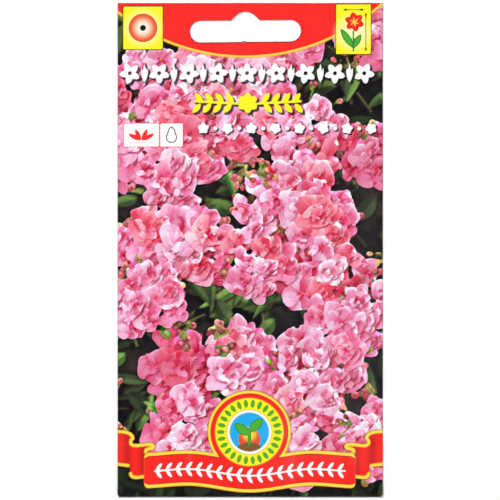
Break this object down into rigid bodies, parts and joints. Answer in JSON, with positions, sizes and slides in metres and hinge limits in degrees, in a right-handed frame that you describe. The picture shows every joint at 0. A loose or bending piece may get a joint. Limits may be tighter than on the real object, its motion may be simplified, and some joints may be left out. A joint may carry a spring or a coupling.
{
  "type": "seed packet",
  "caption": "Flat folded paper packet of garden flower seed, glued shut, with a lapped back seam, a bottom tongue and a punched hang slot in its header.",
  "frame": {"origin": "middle of the packet's outline, on the surface that its back lies on", "axes": "+X across the packet to the right as its front is seen, +Y along it towards the hang slot, +Z out of its printed front"},
  "size_m": [0.08, 0.149, 0.003],
  "materials": {
    "printed_paper": "satin",
    "dried_glue": "matte",
    "seed_coat": "matte"
  },
  "bodies": {
    "root": {"paper_envelope": "printed_paper", "seam_glue": "dried_glue", "seam_glue_top": "dried_glue", "tongue_glue": "dried_glue", "header_glue_left": "dried_glue", "header_glue_right": "dried_glue", "seed_01": "seed_coat", "seed_02": "seed_coat", "seed_03": "seed_coat", "seed_04": "seed_coat", "seed_05": "seed_coat", "seed_06": "seed_coat", "seed_07": "seed_coat", "seed_08": "seed_coat", "seed_09": "seed_coat", "seed_10": "seed_coat", "seed_11": "seed_coat", "seed_12": "seed_coat", "seed_13": "seed_coat", "seed_14": "seed_coat", "seed_15": "seed_coat", "seed_16": "seed_coat", "seed_17": "seed_coat", "seed_18": "seed_coat", "seed_19": "seed_coat", "seed_20": "seed_coat"}
  },
  "joints": []
}
